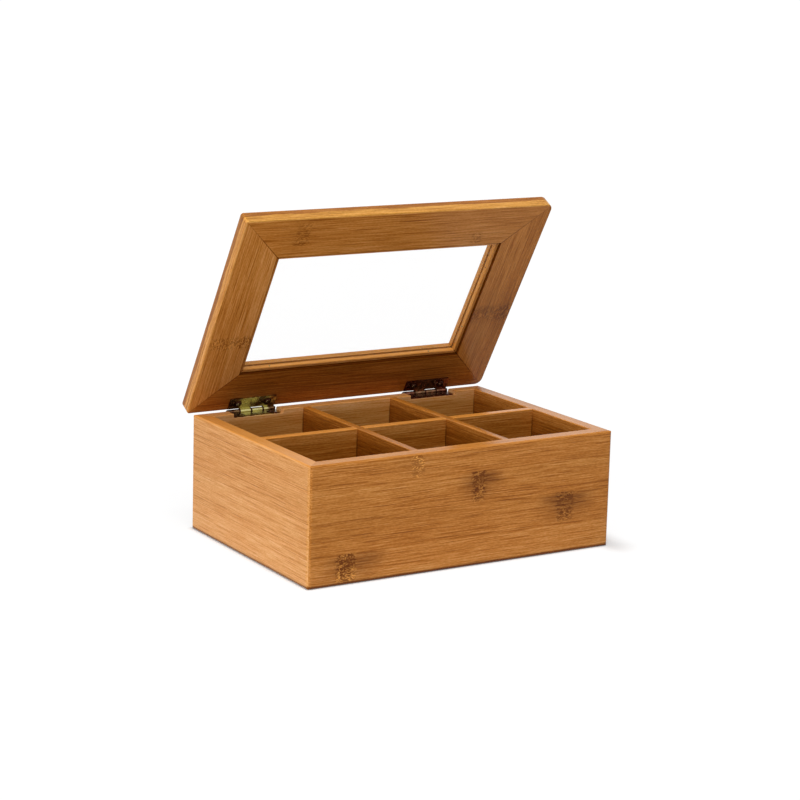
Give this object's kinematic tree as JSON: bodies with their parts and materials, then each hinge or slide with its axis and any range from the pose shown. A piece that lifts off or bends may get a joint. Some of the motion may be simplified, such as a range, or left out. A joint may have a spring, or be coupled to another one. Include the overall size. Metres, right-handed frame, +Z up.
{
  "type": "tea bag box",
  "caption": "Bamboo keeper box with a grid of compartments for tea bags and a hinged lid that frames a clear window.",
  "frame": {"origin": "middle of the underside of the box, where it rests", "axes": "+X along the width to the right, -Y towards the front, +Y towards the hinges, +Z up"},
  "size_m": [0.226, 0.1618, 0.2136],
  "materials": {
    "bamboo": "caramel bamboo with a thin satin lacquer",
    "bamboo_panel": "caramel bamboo panel, sanded and lacquered",
    "clear_pane": "clear and smooth",
    "dark_bronze": "antique bronze plating, worn brighter on the edges"
  },
  "bodies": {
    "box": {"front_wall": "bamboo", "back_wall": "bamboo", "left_wall": "bamboo", "right_wall": "bamboo", "base_panel": "bamboo_panel", "long_divider": "bamboo", "left_cross_divider": "bamboo", "right_cross_divider": "bamboo", "left_hinge_body_leaf": "dark_bronze", "right_hinge_body_leaf": "dark_bronze", "left_hinge_pin": "dark_bronze", "right_hinge_pin": "dark_bronze", "body_leaf_screws": "dark_bronze"},
    "lid": {"lid_front_rail": "bamboo", "lid_back_rail": "bamboo", "lid_left_rail": "bamboo", "lid_right_rail": "bamboo", "window_pane": "clear_pane", "front_bead": "bamboo", "back_bead": "bamboo", "left_bead": "bamboo", "right_bead": "bamboo", "bead_brads": "dark_bronze", "left_hinge_lid_leaf": "dark_bronze", "right_hinge_lid_leaf": "dark_bronze", "lid_leaf_screws": "dark_bronze"}
  },
  "joints": [
    {"name": "lid_hinge", "type": "hinge", "parent": "box", "child": "lid", "pos_m": [0, 0.0773, 0.0737], "axis": [-1, 0, 0], "range_deg": [-60, 120]}
  ]
}
